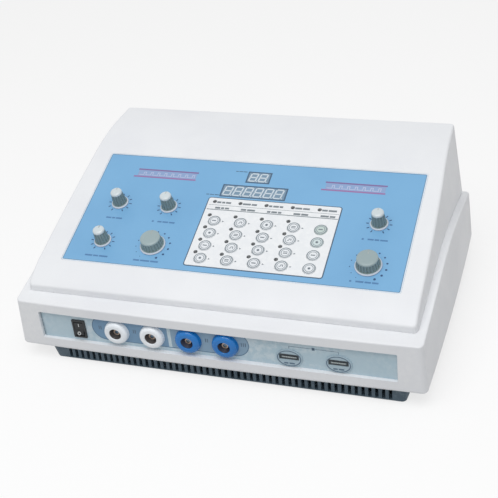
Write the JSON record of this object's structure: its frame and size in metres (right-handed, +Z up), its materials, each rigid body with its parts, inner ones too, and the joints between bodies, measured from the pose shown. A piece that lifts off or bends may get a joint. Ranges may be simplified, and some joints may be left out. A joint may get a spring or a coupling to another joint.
{
  "type": "tens unit",
  "caption": "Desktop nerve and muscle stimulator in a two-part case, with a sloped control panel, fluted knobs, round keys, two digit displays and a row of output sockets.",
  "frame": {"origin": "centre of the footprint, on the surface that the feet stand on", "axes": "+X to the right seen from the front, +Y from the front to the back, +Z up"},
  "size_m": [0.404, 0.2753, 0.146],
  "materials": {
    "shell_grey": "fine satin moulded plastic",
    "cover_white": "fine satin moulded plastic",
    "base_dark": "satin moulded plastic",
    "foot_rubber": "matt rubber",
    "plate_grey_blue": "satin printed plastic",
    "socket_white": "gloss moulded plastic",
    "socket_blue": "gloss moulded plastic",
    "contact_brass": "turned brass",
    "nut_nickel": "nickel plated",
    "insert_dark": "matt moulded plastic",
    "switch_black": "satin moulded plastic",
    "overlay_blue": "satin printed polyester",
    "keypad_white": "satin printed membrane",
    "key_pale": "satin moulded plastic",
    "knob_grey": "satin fluted plastic",
    "cap_pale": "satin moulded plastic",
    "can_steel": "plated steel",
    "window_smoke": "smoked clear plastic",
    "module_dark": "moulded display body",
    "lamp_grey": "tinted lens, unlit",
    "board_green": "circuit board with its parts",
    "core_steel": "varnished laminations",
    "winding_tape": "taped copper winding",
    "inlet_black": "moulded plastic",
    "screw_steel": "zinc plated"
  },
  "bodies": {
    "case": {"base_tray": "base_dark", "blue_sockets": "socket_blue", "control_board": "board_green", "control_overlay": "overlay_blue", "display_modules": "module_dark", "display_windows": "window_smoke", "front_panel": "plate_grey_blue", "inlet_pins": "contact_brass", "key_switches": "insert_dark", "keypad_membrane": "keypad_white", "lower_shell": "shell_grey", "mains_inlet": "inlet_black", "pot_nuts": "nut_nickel", "potentiometers": "can_steel", "power_board": "board_green", "probe_socket_inserts": "insert_dark", "probe_socket_shells": "socket_white", "rubber_feet": "foot_rubber", "screws": "screw_steel", "socket_contacts": "contact_brass", "socket_nuts": "nut_nickel", "status_leds": "lamp_grey", "switch_frame": "switch_black", "top_cover": "cover_white", "transformer_core": "core_steel", "transformer_winding": "winding_tape", "white_sockets": "socket_white"},
    "small_knob_1": {"small_knob_1": "knob_grey", "small_knob_cap_1": "cap_pale"},
    "small_knob_2": {"small_knob_2": "knob_grey", "small_knob_cap_2": "cap_pale"},
    "small_knob_3": {"small_knob_3": "knob_grey", "small_knob_cap_3": "cap_pale"},
    "small_knob_4": {"small_knob_4": "knob_grey", "small_knob_cap_4": "cap_pale"},
    "large_knob_1": {"large_knob_1": "knob_grey", "large_knob_cap_1": "cap_pale"},
    "large_knob_2": {"large_knob_2": "knob_grey", "large_knob_cap_2": "cap_pale"},
    "key_01": {"key_01": "key_pale"},
    "key_02": {"key_02": "key_pale"},
    "key_03": {"key_03": "key_pale"},
    "key_04": {"key_04": "key_pale"},
    "key_05": {"key_05": "key_pale"},
    "key_06": {"key_06": "key_pale"},
    "key_07": {"key_07": "key_pale"},
    "key_08": {"key_08": "key_pale"},
    "key_09": {"key_09": "key_pale"},
    "key_10": {"key_10": "key_pale"},
    "key_11": {"key_11": "key_pale"},
    "key_12": {"key_12": "key_pale"},
    "key_13": {"key_13": "key_pale"},
    "key_14": {"key_14": "key_pale"},
    "key_15": {"key_15": "key_pale"},
    "key_16": {"key_16": "key_pale"},
    "key_17": {"key_17": "key_pale"},
    "key_18": {"key_18": "key_pale"},
    "key_19": {"key_19": "key_pale"},
    "key_20": {"key_20": "key_pale"},
    "rocker": {"switch_rocker": "switch_black"}
  },
  "joints": [
    {"name": "small_knob_1_turn", "type": "hinge", "parent": "case", "child": "small_knob_1", "pos_m": [-0.1292, -0.01758, 0.11413], "axis": [0, -0.2974, 0.9548], "range_deg": [-150, 150]},
    {"name": "small_knob_2_turn", "type": "hinge", "parent": "case", "child": "small_knob_2", "pos_m": [-0.0762, -0.01758, 0.11413], "axis": [0, -0.2974, 0.9548], "range_deg": [-150, 150]},
    {"name": "small_knob_3_turn", "type": "hinge", "parent": "case", "child": "small_knob_3", "pos_m": [-0.1292, -0.06551, 0.0992], "axis": [0, -0.2974, 0.9548], "range_deg": [-150, 150]},
    {"name": "small_knob_4_turn", "type": "hinge", "parent": "case", "child": "small_knob_4", "pos_m": [0.135, -0.01758, 0.11413], "axis": [0, -0.2974, 0.9548], "range_deg": [-150, 150]},
    {"name": "large_knob_1_turn", "type": "hinge", "parent": "case", "child": "large_knob_1", "pos_m": [-0.0762, -0.06551, 0.0992], "axis": [0, -0.2974, 0.9548], "range_deg": [-150, 150]},
    {"name": "large_knob_2_turn", "type": "hinge", "parent": "case", "child": "large_knob_2", "pos_m": [0.135, -0.06551, 0.0992], "axis": [0, -0.2974, 0.9548], "range_deg": [-150, 150]},
    {"name": "key_01_press", "type": "slide", "parent": "case", "child": "key_01", "axis": [0, 0.2974, -0.9548], "range_m": [0, 0.0005], "stiffness_N_per_m": 300, "springref_m": -0.0005},
    {"name": "key_02_press", "type": "slide", "parent": "case", "child": "key_02", "axis": [0, 0.2974, -0.9548], "range_m": [0, 0.0005], "stiffness_N_per_m": 300, "springref_m": -0.0005},
    {"name": "key_03_press", "type": "slide", "parent": "case", "child": "key_03", "axis": [0, 0.2974, -0.9548], "range_m": [0, 0.0005], "stiffness_N_per_m": 300, "springref_m": -0.0005},
    {"name": "key_04_press", "type": "slide", "parent": "case", "child": "key_04", "axis": [0, 0.2974, -0.9548], "range_m": [0, 0.0005], "stiffness_N_per_m": 300, "springref_m": -0.0005},
    {"name": "key_05_press", "type": "slide", "parent": "case", "child": "key_05", "axis": [0, 0.2974, -0.9548], "range_m": [0, 0.0005], "stiffness_N_per_m": 300, "springref_m": -0.0005},
    {"name": "key_06_press", "type": "slide", "parent": "case", "child": "key_06", "axis": [0, 0.2974, -0.9548], "range_m": [0, 0.0005], "stiffness_N_per_m": 300, "springref_m": -0.0005},
    {"name": "key_07_press", "type": "slide", "parent": "case", "child": "key_07", "axis": [0, 0.2974, -0.9548], "range_m": [0, 0.0005], "stiffness_N_per_m": 300, "springref_m": -0.0005},
    {"name": "key_08_press", "type": "slide", "parent": "case", "child": "key_08", "axis": [0, 0.2974, -0.9548], "range_m": [0, 0.0005], "stiffness_N_per_m": 300, "springref_m": -0.0005},
    {"name": "key_09_press", "type": "slide", "parent": "case", "child": "key_09", "axis": [0, 0.2974, -0.9548], "range_m": [0, 0.0005], "stiffness_N_per_m": 300, "springref_m": -0.0005},
    {"name": "key_10_press", "type": "slide", "parent": "case", "child": "key_10", "axis": [0, 0.2974, -0.9548], "range_m": [0, 0.0005], "stiffness_N_per_m": 300, "springref_m": -0.0005},
    {"name": "key_11_press", "type": "slide", "parent": "case", "child": "key_11", "axis": [0, 0.2974, -0.9548], "range_m": [0, 0.0005], "stiffness_N_per_m": 300, "springref_m": -0.0005},
    {"name": "key_12_press", "type": "slide", "parent": "case", "child": "key_12", "axis": [0, 0.2974, -0.9548], "range_m": [0, 0.0005], "stiffness_N_per_m": 300, "springref_m": -0.0005},
    {"name": "key_13_press", "type": "slide", "parent": "case", "child": "key_13", "axis": [0, 0.2974, -0.9548], "range_m": [0, 0.0005], "stiffness_N_per_m": 300, "springref_m": -0.0005},
    {"name": "key_14_press", "type": "slide", "parent": "case", "child": "key_14", "axis": [0, 0.2974, -0.9548], "range_m": [0, 0.0005], "stiffness_N_per_m": 300, "springref_m": -0.0005},
    {"name": "key_15_press", "type": "slide", "parent": "case", "child": "key_15", "axis": [0, 0.2974, -0.9548], "range_m": [0, 0.0005], "stiffness_N_per_m": 300, "springref_m": -0.0005},
    {"name": "key_16_press", "type": "slide", "parent": "case", "child": "key_16", "axis": [0, 0.2974, -0.9548], "range_m": [0, 0.0005], "stiffness_N_per_m": 300, "springref_m": -0.0005},
    {"name": "key_17_press", "type": "slide", "parent": "case", "child": "key_17", "axis": [0, 0.2974, -0.9548], "range_m": [0, 0.0005], "stiffness_N_per_m": 300, "springref_m": -0.0005},
    {"name": "key_18_press", "type": "slide", "parent": "case", "child": "key_18", "axis": [0, 0.2974, -0.9548], "range_m": [0, 0.0005], "stiffness_N_per_m": 300, "springref_m": -0.0005},
    {"name": "key_19_press", "type": "slide", "parent": "case", "child": "key_19", "axis": [0, 0.2974, -0.9548], "range_m": [0, 0.0005], "stiffness_N_per_m": 300, "springref_m": -0.0005},
    {"name": "key_20_press", "type": "slide", "parent": "case", "child": "key_20", "axis": [0, 0.2974, -0.9548], "range_m": [0, 0.0005], "stiffness_N_per_m": 300, "springref_m": -0.0005},
    {"name": "rocker_tip", "type": "hinge", "parent": "case", "child": "rocker", "pos_m": [-0.1341, -0.12935, 0.0407], "axis": [1, 0, 0], "range_deg": [0, 20]}
  ]
}
